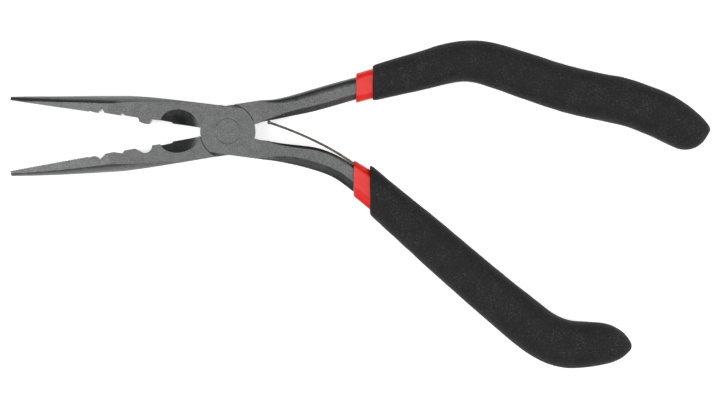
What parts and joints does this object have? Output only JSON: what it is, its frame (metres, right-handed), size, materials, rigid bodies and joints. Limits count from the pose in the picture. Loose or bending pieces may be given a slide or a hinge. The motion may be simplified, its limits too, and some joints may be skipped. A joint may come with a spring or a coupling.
{
  "type": "needle nose pliers",
  "caption": "Long slim-jawed pliers with a side cutter and crimping dies in the jaws, a leaf return spring and offset foam-over-vinyl grips.",
  "frame": {"origin": "on the pivot axis, in the flat of the rear cheek and the flush rivet head", "axes": "-X towards the nose, +X towards the handles, +Z along the pivot axis from the rear cheek to the front cheek, +Y up across the tool as it lies"},
  "size_m": [0.2483, 0.1162, 0.0144],
  "materials": {
    "black_steel": "ground and black-phosphated, satin",
    "rivet_steel": "ground flush and black-phosphated",
    "spring_steel": "blued strip",
    "red_vinyl": "dipped plastisol, smooth satin gloss",
    "black_foam": "foamed dip, matte with fine pores"
  },
  "bodies": {
    "front": {"front_half": "black_steel", "pivot_rivet": "rivet_steel", "spring_rivet": "rivet_steel", "front_vinyl_sleeve": "red_vinyl", "front_foam_grip": "black_foam"},
    "rear": {"rear_half": "black_steel", "rear_vinyl_sleeve": "red_vinyl", "rear_foam_grip": "black_foam"},
    "leaf": {"leaf_spring": "spring_steel"}
  },
  "joints": [
    {"name": "pivot", "type": "hinge", "parent": "front", "child": "rear", "pos_m": [0, 0, 0.0055], "axis": [0, 0, 1], "range_deg": [-18.1, 10], "stiffness_Nm_per_rad": 0.6},
    {"name": "leaf_flex", "type": "hinge", "parent": "front", "child": "leaf", "pos_m": [0.0416, -0.0093, 0.0055], "axis": [0, 0, 1], "range_deg": [-5.6, 9.9], "deforming": ["leaf_spring"]}
  ],
  "couplings": [
    {"joint": "leaf_flex", "follows": "pivot", "ratio": -0.54}
  ]
}
